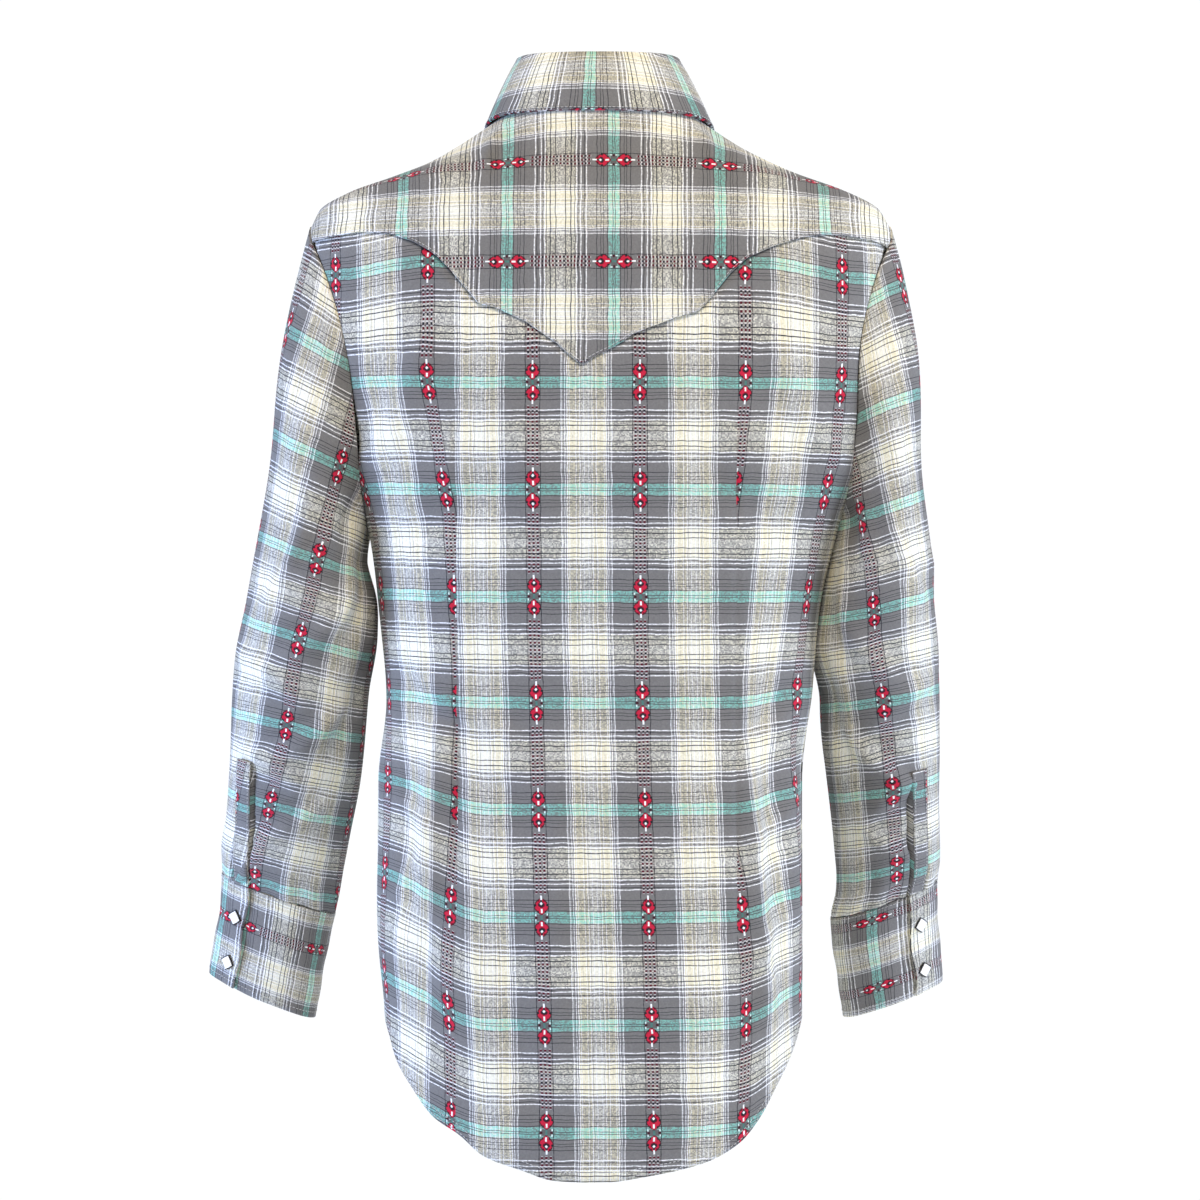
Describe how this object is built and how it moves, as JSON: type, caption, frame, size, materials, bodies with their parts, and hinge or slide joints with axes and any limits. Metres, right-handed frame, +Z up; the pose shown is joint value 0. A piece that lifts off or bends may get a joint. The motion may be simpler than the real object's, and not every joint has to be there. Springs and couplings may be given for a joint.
{
  "type": "western snap shirt",
  "caption": "Long-sleeved western shirt in plaid cloth, filled out as worn, with pointed back yoke, shirt-tail hem, lapped cuffs and diamond pearl snaps.",
  "frame": {"origin": "the middle of the neck opening, level with the seam of the collar at the back, where the wearer's neck and shoulders hold the shirt up", "axes": "+Z up the body, -Y the way the wearer faces, +X to the wearer's left arm"},
  "size_m": [0.5816, 0.2545, 0.8293],
  "materials": {
    "plaid_cloth": "matte yarn-dyed plaid of grey, cream and turquoise with small red woven figures",
    "pearl_snap": "glossy white pearl in a thin dark metal rim"
  },
  "bodies": {
    "root": {"back": "plaid_cloth", "front_left": "plaid_cloth", "front_right": "plaid_cloth", "front_band": "plaid_cloth", "yoke": "plaid_cloth", "collar_stand": "plaid_cloth", "collar_leaf": "plaid_cloth", "sleeve_left": "plaid_cloth", "sleeve_right": "plaid_cloth", "cuff_left": "plaid_cloth", "cuff_right": "plaid_cloth", "sleeve_band_left": "plaid_cloth", "sleeve_band_right": "plaid_cloth", "band_snap_1": "pearl_snap", "band_snap_2": "pearl_snap", "band_snap_3": "pearl_snap", "band_snap_4": "pearl_snap", "band_snap_5": "pearl_snap", "band_snap_6": "pearl_snap", "band_snap_7": "pearl_snap", "band_snap_8": "pearl_snap", "cuff_snap_left_1": "pearl_snap", "cuff_snap_left_2": "pearl_snap", "cuff_snap_right_1": "pearl_snap", "cuff_snap_right_2": "pearl_snap"}
  },
  "joints": []
}
